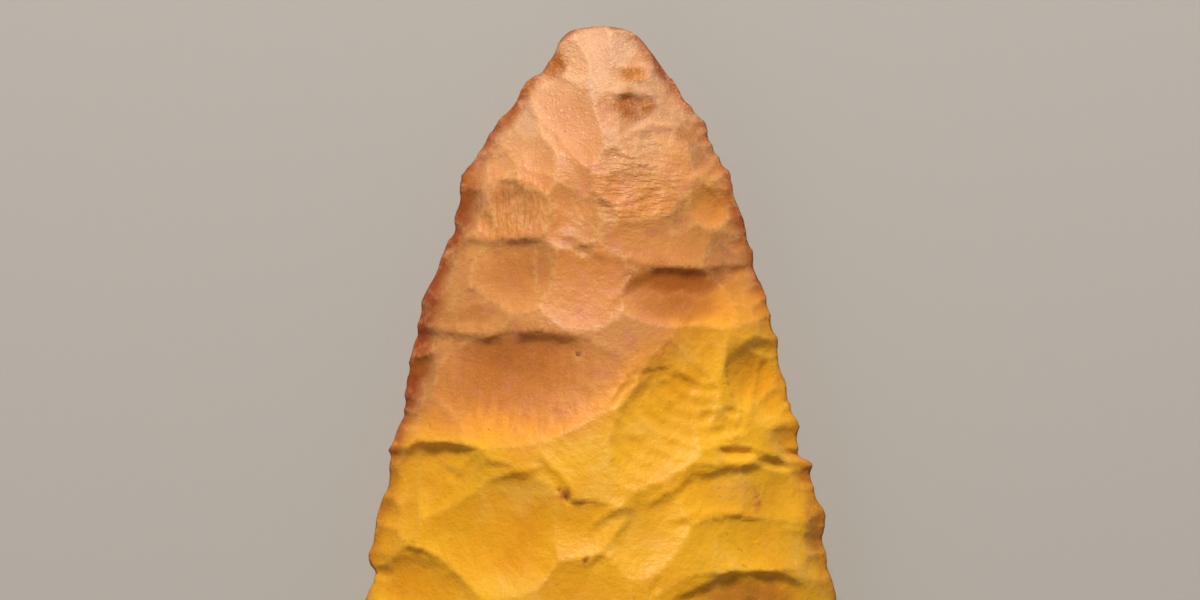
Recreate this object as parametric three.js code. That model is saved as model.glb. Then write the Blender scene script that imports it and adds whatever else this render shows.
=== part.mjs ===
// A flaked stone hand axe lying on its flatter face. Millimetres, +Z up, tip towards +Y.
// Both faces are a low dome cut by one flake scar after another; where two scars meet there is a
// ridge, and where the front meets the back there is the sharp margin.
import * as THREE from "three";

// ---- Sizes ----
const LENGTH = 150; // tip to butt
const HALF_WIDTH = 39.9; // at the widest place
const WIDEST_AT = 107; // distance of the widest place from the tip
const BUTT_POWER = 2.2; // roundness of the butt
const FRONT_RISE = 19.5; // height of the uncut front dome above the margin
const BACK_RISE = 16; // the same for the back
const REST_RISE = 14.4; // height of the margin above the flat resting spot
const SWAY = 0.9; // how far the margin rises and falls about that height
const DOME_POWER = 2.3; // cross-section of both domes: 2 is a parabola
const RISE_POWER = 1.25; // how the rise follows the width towards the tip
const FACET = 2.35; // spacing of the surface points
const BORDER = 4; // how far the points go past both ends of the outline
const SIDE_BORDER = 5; // the same to the sides, where every other row is shifted
const SNAP = 0.5; // a point this share of the spacing from a ridge moves onto it
const MARGIN_SNAP = 0.4; // the same for the margin
const SLIVER = 0.25; // a triangle that shrinks below this share of its area is let out again
const HOLLOWING = 1.7; // depth of the scars' hollows against the table
const STEPPING = 0.45; // height of their steps against the table
const WALL = 1; // width of the fall at a ledge
const FALL_POWER = 5; // how close to its line a ledge falls off
const DROPPING = 0.45; // drop of the ledges against the table
const REACHING = 0.62; // how far they reach against the table
const FALL_SCALE = (FALL_POWER + 1) * (1 + 1 / FALL_POWER) ** FALL_POWER; // makes the deepest place 1
const TAPER = 0.22; // share of a ledge's length over which it dies away at each end
const INSET = 0.6; // how far inside the margin a scar may end
const FAR_BELOW = -10; // the lowest level of a dome beyond its outline
const OVERHANG = [0.03, 0.6]; // how fast it gets there: by the squared width and by the distance aside
const PAST_TIP = 16; // how fast the squared half width falls below nothing past the tip
const COLOUR = 0xc98a35;

// Where the cusps and the sway of the margin are felt: the share of the half width from which they
// begin, and the stretches over which they come in after the tip and die away before the butt.
const CUSPS_FELT = { from: 0.75, comeIn: [0, 2], dieAway: [94, 99] };
const SWAY_FELT = { from: 0.4, comeIn: [2, 12], dieAway: [138, 149], size: 31 };

// Waves that keep lines and surfaces from being even: height, size, shift of their pattern.
const LEDGE_WAVES = [[0.3, 6.1, 0], [0.12, 2.3, 2]];
const SCAR_WAVES = [[0.07, 9, 0], [0.03, 4, 7]];
const STEP_WAVES = [[0.45, 7, 3], [0.25, 2.9, 5]];
const CHIP_WAVES = [[0.08, 5, 20]];
const GOLDEN_ANGLE = 2.399; // keeps the waves of one scar unlike those of the next
const SWAY_PATTERN = 9;

// How a scar goes on past its ends: the share of its slope that it keeps, and how it lifts off.
const RUN_ON = { slope: 0.9, lift: 0.02 };

// How steeply the stone rises at a step: at least, more for each millimetre of it, and up to which.
const STEEPNESS = { least: 0.5, growth: 0.9, upTo: 1.2 };

// Half width of the outline at a distance from the tip.
const OUTLINE = [
  [0, 0],
  [1, 5.5],
  [4, 8.9],
  [9, 12.4],
  [19, 19.5],
  [26, 23.2],
  [35, 25.6],
  [50, 30],
  [65, 33.4],
  [80, 37],
  [95, 39.3],
  [WIDEST_AT, HALF_WIDTH],
];

// Front scars, oldest first. x, distance from the tip, half length, half width, turn of the long axis
// in degrees, hollow, step at the upper side, step at the far end.
const FRONT = [
  [-12, 61, 17, 9.2, 2, 1.1, 0.9, 0],
  [-17, 85, 13, 10.3, 0, 1.2, 0.7, 0],
  [22, 42, 8, 7, 70, 0.7, 0, 0],
  [16.5, 56, 7.5, 5, 100, 0.5, 0, 0],
  [10, 67, 11, 8, 40, 0.9, 0, 0.5],
  [-2.5, 44.5, 8, 6.8, 0, 0.5, 0.5, 0],
  [-14.5, 42.5, 7, 6, 0, 0.8, 0.9, 0],
  [-22.5, 47.9, 8, 3.4, -4, 0.1, 0.5, 0],
  [12.5, 45.8, 9, 5.2, 2, 0.9, 0.9, 0],
  [-28, 76, 8.5, 6, -6, 0.7, 1.3, 0],
  [-32.6, 80, 5.5, 3, 75, 0.3, 0, 0],
  [-28, 94.6, 9, 6.4, -8, 0.9, 0.4, 0],
  [8, 84, 9, 6, 40, 0.6, 0, 0],
  [19.5, 78, 8, 4.8, 4, 0.6, 0.5, 0],
  [30, 79, 6.5, 5.5, 0, 0.5, 0.7, 0],
  [27, 86.6, 12, 4.4, 0, 0.4, 0.3, 0],
  [23, 98, 14, 6.8, 3, 0.6, 1.5, 0],
  [-3, 95.5, 8, 7, 40, 0.5, 0, 0],
  [-2.2, 84, 5, 4.4, 0, 0.4, 1, 0],
  [23.2, 59.5, 6.8, 3.6, 96, 0.2, 0, 0],
  [28.3, 60, 7, 3.2, -92, 0.4, 0, 0.4],
  [20, 67, 4.5, 2.6, 10, 0.3, 0.3, 0],
  [-28.8, 65, 4.6, 4.4, 0, 0.4, 0, 0],
  [-17, 74.3, 3.4, 1.2, 4, 0.2, 0.7, 0],
  [22.5, 71.5, 3.4, 1.2, 0, 0.5, 0.3, 0],
  [28.7, 73.2, 3.2, 1.1, -10, 0.5, 0.3, 0],
  // towards the tip
  [7.5, 28.5, 8.5, 6.5, 0, 0.2, 0.2, 0],
  [9, 37, 9, 4.2, 0, 0.3, 0, 0],
  [-4.5, 32.5, 6, 5, 60, 0.3, 0, 0],
  [-14.5, 32, 6, 4.4, 0, 0.3, 0.5, 0],
  [-14.5, 28.9, 2.4, 1.6, 0, 0.2, 0.7, 0],
  [-10.5, 25.6, 3.8, 3, -60, 0.2, 0, 0],
  [-17.3, 23.3, 3.6, 3.4, 0, 0.2, 0.2, 0],
  [-11, 19.4, 5.2, 3.2, -38, 0.3, 0.6, 0],
  [10, 20, 5, 3.6, 0, 0.3, 0.2, 0],
  [19, 29, 5.6, 3.6, -72, 0.15, 0, 0.1],
  [17.4, 21, 4, 3, -60, 0.3, 0, 0],
  [15, 17.4, 2.8, 2, -20, 0.2, 0.6, 0],
  [11.2, 12.4, 4.2, 2.8, -50, 0.3, 0, 0],
  [-5.5, 15.6, 9, 5.2, -48, 0.5, 0, 0],
  [5.6, 14.6, 4, 2.6, 0, 0.15, 0.4, 0],
  [4.4, 4, 3.4, 2.4, -60, 0.2, 0, 0],
  [-4.3, 6.6, 4.2, 2, -72, 0.3, 0, 0],
  [-0.3, 6.3, 6.6, 2, -76, 0.3, 0, 0],
  // butt
  [-24, 110, 13, 8, 10, 1, 0.5, 0],
  [23, 112, 13, 8, -10, 1, 0.5, 0],
  [0, 113, 10, 9, 80, 0.8, 0, 0],
  [-24, 126, 11, 7, 35, 0.9, 0.4, 0],
  [24, 127, 11, 7, -35, 0.9, 0.4, 0],
  [-8, 134, 11, 7, 75, 0.8, 0, 0],
  [10, 137, 10, 7, 110, 0.8, 0, 0],
];

// The larger ledges of the front, one arc each: start and end (x, distance from the tip), bow of the arc
// to its low side, drop on the low side, how far the hollow reaches, lip on the high side.
const LEDGES = [
  [1.2, 11.9, 9.6, 11.8, -0.2, 0.6, 6.5, 0.5],
  [-31, 35.4, -7.4, 35, 0.8, 0.8, 11, 0.3],
  [0.6, 38.8, 29, 38.2, 2.4, 0.9, 11, 0.3],
  [-32, 50, -14.6, 52, 0.4, 0.9, 16, 0.35],
  [-14.6, 52, -2.5, 52.8, -0.5, 0.9, 16, 0.3],
  [2, 66.4, 10.4, 58.2, -1.6, 0.7, 10, 0.25],
  [14.6, 74.8, 27, 72.8, 0, 0.7, 8, 0.5],
  [-39, 71.8, -19.6, 70.2, -1.2, 1.3, 11, 0.35],
  [-10.6, 71, -3, 79.6, -0.3, 0.7, 8, 0.3],
  [10.6, 96, 24, 90.7, -0.8, 1.1, 12, 0.3],
  [24, 90.7, 34.2, 93.2, -0.8, 1.1, 10, 0.3],
];

// Cusps of the two margins: distance from the tip, half width there, scoop since the cusp before.
const LEFT_MARGIN = [
  [9.3, 12.2, 1.5],
  [19.2, 19.7, 0.5],
  [25, 23.4, 0.45],
  [34.5, 24.8, 0.4],
  [46, 29.7, 0],
  [62, 32.8, 0],
  [71, 35.4, 0.7],
  [79.5, 36.9, 0.8],
  [88, 38.8, 0.4],
  [97, 39.5, 1.2],
];
const RIGHT_MARGIN = [
  [9, 12.2, 0.7],
  [16, 17.6, 0.3],
  [25, 22, 0.3],
  [33.5, 24.8, 0.3],
  [46, 28.3, 0],
  [60, 31.4, 0.2],
  [67, 33.4, 0.3],
  [73, 35.1, 1.3],
  [82, 37.7, 0.4],
  [92.5, 38.9, 0.9],
];

// Edge chips: first place, last place, average length, then how deep and long each is in turn.
const BUTT_CHIPS = [97, 149.4, 6.5];
const BACK_CHIPS = [6, 149.4, 7.2];
const UNEVENNESS = { share: 0.35, turn: 2.4 }; // how far their ends leave an even spacing, and in what turn
const SHORTEST_CHIP = 2;
const BUTT_BITE = 1.4; // how much deeper the chips of the butt are cut
const CHIP_SLOPE = 0.55; // share of a chip's rise that is straight; the rest of it curves up
const CHIP_RIM = 0.2; // how far its sides rise above the margin
const DEEPEST = [0.14, 0.1]; // limit of the depth: share of its length, and millimetres on top
const LONGEST = [0.8, 1]; // the same for how far it reaches inward
const BITES = [0.35, 0.5, 0.3, 0.55, 0.4, 0.5, 0.3, 0.45];
const REACHES = [2.5, 4, 3, 4.5, 2.2, 5, 3.5, 4];

// The broad scars of the back, in a row from each margin: how many, distance of the first from the tip
// and between neighbours, how much further back the right row starts, and where the rows stop. The scars
// point straight in at `level` and turn by `turn` degrees for each millimetre away from there.
const BACK_ROW = { count: 8, first: 12, apart: 17, stagger: 7, last: 140, level: 75, turn: -0.35 };
// Place and half length of each as shares of the half width of the stone, then its own sizes.
const BACK_SCAR = { place: 0.55, run: 0.38, halfWidth: 8.6, hollow: 0.8, step: 0.25, pattern: 40 };
// How much their places, half lengths and hollows differ, and in what turn.
const BACK_WANDER = { place: [2.5, 2.1], run: [0.05, 1.7], hollow: [0.2, 3] };

// The search for ridges and for the margin: distance over which a slope is measured, rounds, what keeps
// a division from failing, and the largest error that is let through.
const RIDGE_SEARCH = { nudge: 0.02, rounds: 3, least: 1e-9, slack: 0.03, steepest: 4 };
const MARGIN_SEARCH = { nudge: 0.05, rounds: 5, least: 1e-6, slack: 0.01 };
const HALVINGS = 30; // rounds of the search for a cut through a triangle's side
const LETTING_OUT = 12; // rounds in which slivers are let out

const { min, max, abs, sign, sin, cos, sqrt, hypot, PI } = Math;

// ---- Outline and dome ----
const squares = OUTLINE.map(([t, w]) => [t, w * w]);
const rates = squares.map((p, i) => {
  const step = (a, b) => (b[1] - a[1]) / (b[0] - a[0]);
  if (i === 0) return step(p, squares[1]);
  if (i === squares.length - 1) return 0;
  return (step(squares[i - 1], p) + step(p, squares[i + 1])) / 2;
});

function widthSquared(t) {
  if (t < 0) return t * PAST_TIP;
  if (t >= WIDEST_AT) return HALF_WIDTH ** 2 * (1 - ((t - WIDEST_AT) / (LENGTH - WIDEST_AT)) ** BUTT_POWER);
  const i = squares.findLastIndex((p) => p[0] <= t);
  const h = squares[i + 1][0] - squares[i][0];
  const s = (t - squares[i][0]) / h;
  const a = (2 * s ** 3 - 3 * s ** 2 + 1) * squares[i][1] + (s ** 3 - 2 * s ** 2 + s) * h * rates[i];
  return a + (3 * s ** 2 - 2 * s ** 3) * squares[i + 1][1] + (s ** 3 - s ** 2) * h * rates[i + 1];
}

const halfWidth = (t) => sqrt(max(widthSquared(t), 0));

const share = (v, low, high) => max(0, min(1, (v - low) / (high - low)));
const smooth = (v, low, high) => share(v, low, high) ** 2 * (3 - 2 * share(v, low, high));

// 0 in the middle of the stone, 1 at the margin, and 0 towards both ends.
function felt(x, t, { from, comeIn, dieAway }) {
  const outward = smooth(abs(x) / max(halfWidth(t), 0.5), from, 1);
  return outward * smooth(t, ...comeIn) * (1 - smooth(t, ...dieAway));
}

// How far a margin stands out from the smooth outline: scooped between its cusps.
function nick(t, cusps) {
  const after = cusps.findIndex((cusp) => cusp[0] > t);
  if (after < 0) return cusps.at(-1)[1] - halfWidth(cusps.at(-1)[0]);
  const [stop, width, scoop] = cusps[after];
  const [start, before] = after ? cusps[after - 1] : [0, 0];
  const s = share(t, start, stop);
  const jut = (1 - s) * (before - halfWidth(start)) + s * (width - halfWidth(stop));
  return jut - 4 * scoop * s * (1 - s);
}

// x moved sideways near the margin, so that the smooth outline gets its cusps and scoops.
function drawnIn(x, t) {
  const amount = felt(x, t, CUSPS_FELT);
  return amount ? x - sign(x) * amount * nick(t, x < 0 ? LEFT_MARGIN : RIGHT_MARGIN) : x;
}

function dome(x, t, rise) {
  const w2 = widthSquared(t);
  if (w2 <= 0) return max(w2 * OVERHANG[0] - abs(x) * OVERHANG[1], FAR_BELOW);
  const w = sqrt(w2);
  return max(rise * (w / HALF_WIDTH) ** RISE_POWER * (1 - (abs(x) / w) ** DOME_POWER), FAR_BELOW);
}

// Smooth unevenness between about -1 and 1, `size` across, different for every `k`: three waves that
// run in different directions.
function uneven(x, t, k, size) {
  const a = (x * 2 * PI) / size;
  const b = (t * 2 * PI) / size;
  const p = k * GOLDEN_ANGLE;
  const slow = 0.4 * sin(a * 0.9 + b * 0.35 + p) + 0.35 * sin(b * 0.95 - a * 0.42 + 1.7 * p);
  return slow + 0.25 * sin(a * 1.5 + b * 1.3 + 2.9 * p + sin(b * 0.7 + p));
}

const waves = (x, t, k, rows) =>
  rows.reduce((sum, [height, size, shift]) => sum + height * uneven(x, t, k + shift, size), 0);

// How far both faces are raised near the margin, so that it isn't a straight line from the side.
const sway = (x, t) => SWAY * felt(x, t, SWAY_FELT) * uneven(x, t, SWAY_PATTERN, SWAY_FELT.size);

// The relief of a ledge: a lip on one side of its arc and a hollow that falls away on the other.
function ledgeRelief([x0, t0, x1, t1, bow, fullDrop, fullReach, lip], k, x, t) {
  const drop = fullDrop * DROPPING;
  const reach = fullReach * REACHING;
  const length = hypot(x1 - x0, t1 - t0);
  const way = [(x1 - x0) / length, (t1 - t0) / length];
  const s = ((x - x0) * way[0] + (t - t0) * way[1]) / length;
  if (s <= 0 || s >= 1) return 0;
  const off = (t - t0) * way[0] - (x - x0) * way[1] - 4 * bow * s * (1 - s);
  const d = off / hypot(1, (4 * bow * (1 - 2 * s)) / length) + waves(x, t, k, LEDGE_WAVES);
  const low = share(d, 0, reach);
  const high = share(d, -reach / 2, 0);
  const fall = drop * FALL_SCALE * low * (1 - low) ** FALL_POWER;
  return smooth(min(s, 1 - s), 0, TAPER) * (lip * high ** 2 * (1 - smooth(d, 0, WALL)) - fall);
}

const steepness = (step) => STEEPNESS.least + STEEPNESS.growth * min(step, STEEPNESS.upTo);

// ---- A face: the dome and the scars cut into it ----
class Face {
  constructor(rise) {
    this.cuts = [(x, t) => dome(x, t, rise)];
    this.ledges = [];
  }

  height(x, t) {
    const px = drawnIn(x, t);
    const scarred = this.cuts.reduce((z, cut) => min(z, cut(px, t)), Infinity);
    return this.ledges.reduce((z, ledge, k) => z + ledgeRelief(ledge, k, px, t), scarred);
  }

  // Height just inside the margin, so that a scar may end there.
  inside(x, t) {
    const w = halfWidth(t) - INSET;
    return this.height(max(-w, min(w, x)), t);
  }

  scar(k, [x, t, a, b, turn, ...depths]) {
    const hollow = depths[0] * HOLLOWING;
    const step = depths[1] * STEPPING;
    const end = depths[2] * STEPPING;
    const c = cos((turn * PI) / 180);
    const s = sin((turn * PI) / 180);
    const at = (u, v) => this.inside(x + u * c - v * s, t - u * s - v * c);
    const right = at(a, 0) - end;
    const left = at(-a, 0);
    const upper = at(0, b) - step;
    const lower = at(0, -b);
    const middle = (upper + lower) / 2 - hollow;
    const bend = ((right + left) / 2 - middle) / a ** 2;
    this.cuts.push((px, pt) => {
      const u = (px - x) * c + (t - pt) * s;
      const v = (t - pt) * c - (px - x) * s;
      const inner = min(abs(u), a);
      const outer = max(abs(u) - a, 0);
      let z = middle + ((right - left) / (2 * a)) * u + bend * inner ** 2 + RUN_ON.lift * outer ** 2;
      z += 2 * RUN_ON.slope * min(bend, 0) * a * outer + max(bend, 0) * (2 * a * outer + outer ** 2);
      z += ((upper - lower) / (2 * b)) * v + (hollow * v * v) / b ** 2;
      z += waves(px, pt, k, SCAR_WAVES);
      const wander = waves(px, pt, k, STEP_WAVES);
      if (step) z += steepness(step) * max(v - b + wander, 0);
      if (end) z += steepness(end) * max(u - a + wander, 0);
      return z;
    });
  }

  // A short chip between two cusps of the margin.
  chip(k, side, from, to, bite, reach) {
    const start = [side * halfWidth(from), from];
    const stop = [side * halfWidth(to), to];
    const half = hypot(stop[0] - start[0], stop[1] - start[1]) / 2;
    const along = [(stop[0] - start[0]) / (2 * half), (stop[1] - start[1]) / (2 * half)];
    const inward = [-side * abs(along[1]), (side * along[0] * along[1]) / abs(along[1])];
    const mid = [(start[0] + stop[0]) / 2, (start[1] + stop[1]) / 2];
    const far = this.inside(mid[0] + inward[0] * reach, mid[1] + inward[1] * reach);
    this.cuts.push((px, pt) => {
      const u = ((px - mid[0]) * inward[0] + (pt - mid[1]) * inward[1]) / reach;
      const v = ((px - mid[0]) * along[0] + (pt - mid[1]) * along[1]) / half;
      const run = CHIP_SLOPE * u + (u > 0 ? (1 - CHIP_SLOPE) * u * u : 0);
      return -bite + (far + bite) * run + (bite + CHIP_RIM) * v * v + waves(px, pt, k, CHIP_WAVES);
    });
  }

  flat(level) {
    this.cuts.push(() => level);
  }

  // The nearest point of the ridge next to (x, t), or null when it is further away than `reach`.
  ridge(x, t, reach) {
    const { nudge: e, rounds, least, slack, steepest } = RIDGE_SEARCH;
    const cuts = this.cuts.map((cut) => (px, pt) => cut(drawnIn(px, pt), pt));
    const z = cuts.map((cut) => cut(x, t));
    const lowest = z.indexOf(min(...z));
    const low = cuts[lowest];
    let best = null;
    cuts.forEach((cut, j) => {
      if (j === lowest || z[j] - z[lowest] > steepest * reach) return;
      let [px, pt] = [x, t];
      for (let i = 0; i < rounds; i++) {
        const gap = cut(px, pt) - low(px, pt);
        const gx = (cut(px + e, pt) - low(px + e, pt) - gap) / e;
        const gt = (cut(px, pt + e) - low(px, pt + e) - gap) / e;
        const g = gx * gx + gt * gt + least;
        px -= (gap * gx) / g;
        pt -= (gap * gt) / g;
      }
      const moved = hypot(px - x, pt - t);
      const real = min(...cuts.map((other) => other(px, pt))) > min(cut(px, pt), low(px, pt)) - slack;
      if (real && moved < reach && (!best || moved < best[2])) best = [px, pt, moved];
    });
    return best;
  }
}

// Places along a margin that are unevenly spaced, `length` apart on average.
function spaced([start, stop, length]) {
  const count = Math.round((stop - start) / length);
  const moved = (i) => i + UNEVENNESS.share * sin(i * UNEVENNESS.turn);
  const place = (i) => start + ((stop - start) * moved(i)) / count;
  return Array.from({ length: count + 1 }, (_, i) => place(i));
}

function chips(face, cusps, side, shift, depth) {
  for (let i = 0; i < cusps.length - 1; i++) {
    const from = cusps[i] + (cusps[i + 1] - cusps[i]) * shift;
    const next = cusps[min(i + 2, cusps.length - 1)];
    const to = cusps[i + 1] + (next - cusps[i + 1]) * shift;
    const gap = to - from;
    if (gap < SHORTEST_CHIP) continue;
    const bite = min(BITES[i % BITES.length], DEEPEST[0] * gap + DEEPEST[1]) * depth;
    const reach = min(REACHES[(i * 3) % REACHES.length], LONGEST[0] * gap + LONGEST[1]);
    face.chip(i, side, from, to, bite, reach);
  }
}

const front = new Face(FRONT_RISE);
FRONT.forEach((row, k) => front.scar(k, row));
for (const side of [-1, 1]) chips(front, spaced(BUTT_CHIPS), side, 0, BUTT_BITE);
front.ledges = LEDGES;

// The back is plainer: a row of broad scars from each margin, then a few chips and the resting spot.
const back = new Face(BACK_RISE);
const wander = ([size, turn], i, shift) => size * sin(i * turn + shift);
for (const side of [-1, 1]) {
  for (let i = 0; i < BACK_ROW.count; i++) {
    const start = BACK_ROW.first + (side > 0 ? BACK_ROW.stagger : 0);
    const t = start + i * BACK_ROW.apart + wander(BACK_WANDER.place, i, side);
    if (t > BACK_ROW.last) continue;
    const w = halfWidth(t);
    const run = w * (BACK_SCAR.run + wander(BACK_WANDER.run, i, -side));
    const turn = side * (t - BACK_ROW.level) * BACK_ROW.turn;
    const hollow = BACK_SCAR.hollow + wander(BACK_WANDER.hollow, i, 0);
    const row = [side * w * BACK_SCAR.place, t, run, BACK_SCAR.halfWidth, turn, hollow, BACK_SCAR.step, 0];
    back.scar(i + BACK_SCAR.pattern, row);
  }
}
for (const side of [-1, 1]) chips(back, spaced(BACK_CHIPS), side, 0.5, 1);
back.flat(REST_RISE);

const thickness = (x, t) => front.height(x, t) + back.height(x, t);

// ---- Surface: triangles over the outline, the points near a ridge moved onto it ----
const points = [];
const triangles = [];
const rowStep = (FACET * sqrt(3)) / 2;
const rows = Math.ceil((LENGTH + 2 * BORDER) / rowStep);
const across = Math.ceil((2 * (HALF_WIDTH + SIDE_BORDER)) / FACET);
for (let r = 0; r <= rows; r++) {
  for (let c = 0; c <= across; c++) {
    points.push([(c - across / 2 + (r % 2) / 2) * FACET, r * rowStep - BORDER]);
  }
}
const site = (r, c) => r * (across + 1) + c;
for (let r = 0; r < rows; r++) {
  for (let c = 0; c < across; c++) {
    const [a, b, d, e] = [site(r, c), site(r, c + 1), site(r + 1, c), site(r + 1, c + 1)];
    if (r % 2) triangles.push([a, b, e], [a, e, d]);
    else triangles.push([a, b, d], [b, e, d]);
  }
}

// The points next to the margin move onto it, and the other triangles there are cut.
const levels = points.map(([x, t]) => thickness(x, t));
points.forEach((p, i) => {
  const { nudge: e, rounds, least, slack } = MARGIN_SEARCH;
  let [x, t] = p;
  for (let n = 0; n < rounds; n++) {
    const z = thickness(x, t);
    const gx = (thickness(x + e, t) - z) / e;
    const gt = (thickness(x, t + e) - z) / e;
    const g = gx * gx + gt * gt + least;
    x -= (z * gx) / g;
    t -= (z * gt) / g;
  }
  if (hypot(x - p[0], t - p[1]) < MARGIN_SNAP * FACET && abs(thickness(x, t)) < slack) {
    points[i] = [x, t];
    levels[i] = 0;
  }
});

const cutPoints = new Map();
function cutPoint(i, j) {
  const key = min(i, j) + "," + max(i, j);
  if (!cutPoints.has(key)) {
    let [inn, out] = levels[i] > 0 ? [points[i], points[j]] : [points[j], points[i]];
    for (let n = 0; n < HALVINGS; n++) {
      const mid = [(inn[0] + out[0]) / 2, (inn[1] + out[1]) / 2];
      if (thickness(...mid) > 0) inn = mid;
      else out = mid;
    }
    cutPoints.set(key, points.push(inn) - 1);
    levels.push(0);
  }
  return cutPoints.get(key);
}

const kept = [];
for (const tri of triangles) {
  const ring = [];
  tri.forEach((i, n) => {
    const j = tri[(n + 1) % 3];
    if (levels[i] >= 0) ring.push(i);
    if (levels[i] * levels[j] < 0) ring.push(cutPoint(i, j));
  });
  if (!tri.some((i) => levels[i] > 0)) continue;
  for (let n = 1; n < ring.length - 1; n++) kept.push([ring[0], ring[n], ring[n + 1]]);
}

const used = [...new Set(kept.flat())];
const cross = (a, b, c) => (b[0] - a[0]) * (c[1] - a[1]) - (c[0] - a[0]) * (b[1] - a[1]);
const area = (plan, [a, b, c]) => cross(plan[a], plan[b], plan[c]);

// Plan positions of one face's points after the moves onto its ridges; the margin stays.
function settled(face) {
  const plan = points.slice();
  for (const i of used) {
    if (levels[i] === 0) continue;
    const found = face.ridge(...points[i], SNAP * FACET);
    if (found) plan[i] = [found[0], found[1]];
  }
  for (let n = 0; n < LETTING_OUT; n++) {
    for (const tri of kept) {
      if (area(plan, tri) > SLIVER * area(points, tri)) continue;
      for (const i of tri) {
        plan[i] = [(plan[i][0] + points[i][0]) / 2, (plan[i][1] + points[i][1]) / 2];
      }
    }
  }
  return plan;
}

const order = new Map();
const coordinates = [];
function vertex(i, plan, height, name) {
  const key = levels[i] === 0 ? "margin" + i : name + i;
  if (!order.has(key)) {
    const [x, t] = plan[i];
    order.set(key, coordinates.length / 3);
    coordinates.push(x, LENGTH / 2 - t, height(x, t) + REST_RISE + sway(x, t));
  }
  return order.get(key);
}

const frontPlan = settled(front);
const backPlan = settled(back);
const indices = [];
for (const [a, b, c] of kept) {
  const up = [a, c, b].map((i) => vertex(i, frontPlan, (x, t) => front.height(x, t), "front"));
  const down = [a, b, c].map((i) => vertex(i, backPlan, (x, t) => -back.height(x, t), "back"));
  indices.push(...up, ...down);
}

const geometry = new THREE.BufferGeometry();
geometry.setAttribute("position", new THREE.Float32BufferAttribute(coordinates, 3));
geometry.setIndex(indices);
geometry.computeVertexNormals();

const stone = new THREE.MeshStandardMaterial({ color: COLOUR, roughness: 0.45, metalness: 0 });
stone.name = "flint";
stone.flatShading = true;
const handAxe = new THREE.Mesh(geometry, stone);
handAxe.name = "hand_axe";

const part = new THREE.Group();
part.name = "stone_hand_axe";
part.add(handAxe);

export default part;
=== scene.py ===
"""A flaked stone hand axe lying on its flatter face, and the plain stage that it is shown on.

Both faces are a low dome cut by one flake scar after another. Where two scars meet there is a ridge,
and where the front meets the back there is the sharp, scalloped margin. Plan sizes are millimetres:
x across, t back from the tip.
"""

import math

import bpy
import numpy as np
from bpy.props import FloatProperty, FloatVectorProperty, PointerProperty
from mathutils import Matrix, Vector


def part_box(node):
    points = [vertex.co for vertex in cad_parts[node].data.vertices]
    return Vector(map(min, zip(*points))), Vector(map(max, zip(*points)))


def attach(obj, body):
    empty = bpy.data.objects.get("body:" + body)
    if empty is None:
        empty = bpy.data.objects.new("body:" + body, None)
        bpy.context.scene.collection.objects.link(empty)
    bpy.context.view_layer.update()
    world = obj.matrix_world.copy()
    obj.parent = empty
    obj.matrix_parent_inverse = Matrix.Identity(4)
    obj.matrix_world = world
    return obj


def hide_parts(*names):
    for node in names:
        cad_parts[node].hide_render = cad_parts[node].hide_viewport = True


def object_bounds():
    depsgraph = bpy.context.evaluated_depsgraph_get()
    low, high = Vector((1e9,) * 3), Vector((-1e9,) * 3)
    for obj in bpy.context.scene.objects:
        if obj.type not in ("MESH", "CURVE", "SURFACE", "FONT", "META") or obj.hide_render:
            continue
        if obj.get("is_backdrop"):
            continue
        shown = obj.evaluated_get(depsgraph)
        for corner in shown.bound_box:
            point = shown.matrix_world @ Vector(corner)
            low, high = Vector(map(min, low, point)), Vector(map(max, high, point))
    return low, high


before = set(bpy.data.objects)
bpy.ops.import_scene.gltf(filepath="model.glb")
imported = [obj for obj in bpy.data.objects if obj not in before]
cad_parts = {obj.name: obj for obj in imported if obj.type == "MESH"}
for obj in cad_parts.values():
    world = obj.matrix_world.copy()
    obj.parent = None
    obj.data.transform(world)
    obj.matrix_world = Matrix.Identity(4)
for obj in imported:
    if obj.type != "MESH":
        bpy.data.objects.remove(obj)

CAD_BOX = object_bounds()

bl_info = {
    "name": "Stone hand axe",
    "version": (1, 0, 0),
    "blender": (4, 5, 0),
    "location": "3D View > Sidebar > Hand axe",
    "description": "Makes a flaked stone hand axe and its stage",
    "category": "Add Mesh",
}

MM = 0.001
NODE = "hand_axe"

# ---- Shape of the stone, in millimetres ----
LENGTH = 150.0  # tip to butt
HALF_WIDTH = 39.9  # at the widest place
WIDEST_AT = 107.0  # distance of the widest place from the tip
BUTT_POWER = 2.2  # roundness of the butt
FRONT_RISE = 19.5  # height of the uncut front dome above the margin
BACK_RISE = 16.0  # the same for the back
REST_RISE = 14.4  # height of the margin above the flat resting spot
DOME_POWER = 2.3  # cross-section of both domes: 2 is a parabola
RISE_POWER = 1.25  # how the rise follows the width towards the tip
INSET = 0.6  # how far inside the margin a scar may end
FAR_BELOW = -10.0  # the lowest level of a dome beyond its outline
OVERHANG = (0.03, 0.6)  # how fast it gets there: by the squared width and by the distance aside
PAST_TIP = 16.0  # how fast the squared half width falls below nothing past the tip
LEAST_WIDTH = 0.5  # least half width that felt divides by
LEAST = 1e-6  # keeps other divisions finite
ABOVE_ALL = 99.0  # height of a cut where it doesn't count

# Where the cusps are felt: from this share of the half width on, coming in and dying away over these
# stretches.
CUSPS_FELT = (0.75, (0, 2), (94, 99))
# The same for the margin's rise and fall, then its height and the size and pattern of its waves.
SWAY_FELT = (0.4, (2, 12), (138, 149))
SWAY, SWAY_SIZE, SWAY_PATTERN = 0.9, 31, 9

# Depths and reaches against the tables.
HOLLOWING = 1.7  # of the scars' hollows
STEPPING = 0.45  # of their steps
DROPPING = 0.45  # of the ledges' drops
REACHING = 0.62  # of how far the ledges reach

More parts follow.
